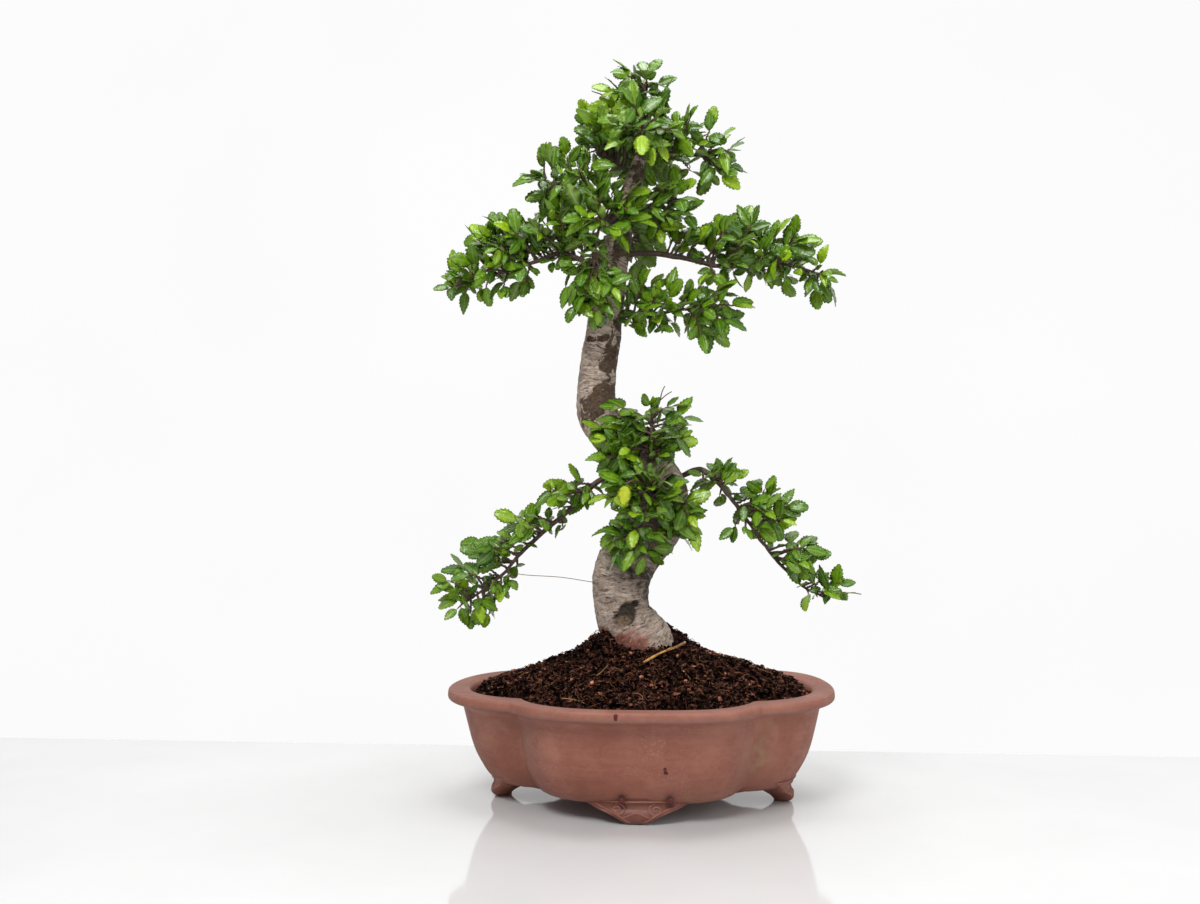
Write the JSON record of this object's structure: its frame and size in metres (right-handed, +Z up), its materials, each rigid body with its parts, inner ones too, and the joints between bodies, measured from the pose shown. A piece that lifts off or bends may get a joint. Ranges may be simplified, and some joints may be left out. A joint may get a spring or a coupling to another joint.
{
  "type": "chinese elm bonsai",
  "caption": "S-shaped Chinese elm bonsai with layered branches of small toothed leaves, standing in mounded soil in a four-lobed footed clay pot.",
  "frame": {"origin": "on the table under the middle of the whole object", "axes": "+Z up along the tree, +X to the right and -Y towards the viewer of the front"},
  "size_m": [0.3379, 0.23, 0.5747],
  "materials": {
    "clay": "matte unglazed",
    "mesh": "matte",
    "soil": "rough, moist",
    "bark": "rough",
    "leaf": "satin"
  },
  "bodies": {
    "root": {"pot": "clay", "drain_mesh_left": "mesh", "drain_mesh_right": "mesh", "soil": "soil", "trunk": "bark", "branch_left_low": "leaf", "branch_right_low": "leaf", "branch_front_low": "leaf", "branch_front_hang": "leaf", "branch_back_low": "leaf", "branch_right_mid": "leaf", "branch_left_high": "leaf", "branch_right_high": "leaf", "branch_back_high": "leaf", "branch_front_high": "leaf", "branch_right_crown": "leaf", "branch_left_crown": "leaf", "branch_apex_left": "leaf", "branch_apex_right": "leaf", "branch_apex_front": "leaf", "branch_apex_back": "leaf", "branch_apex_top": "leaf"}
  },
  "joints": []
}
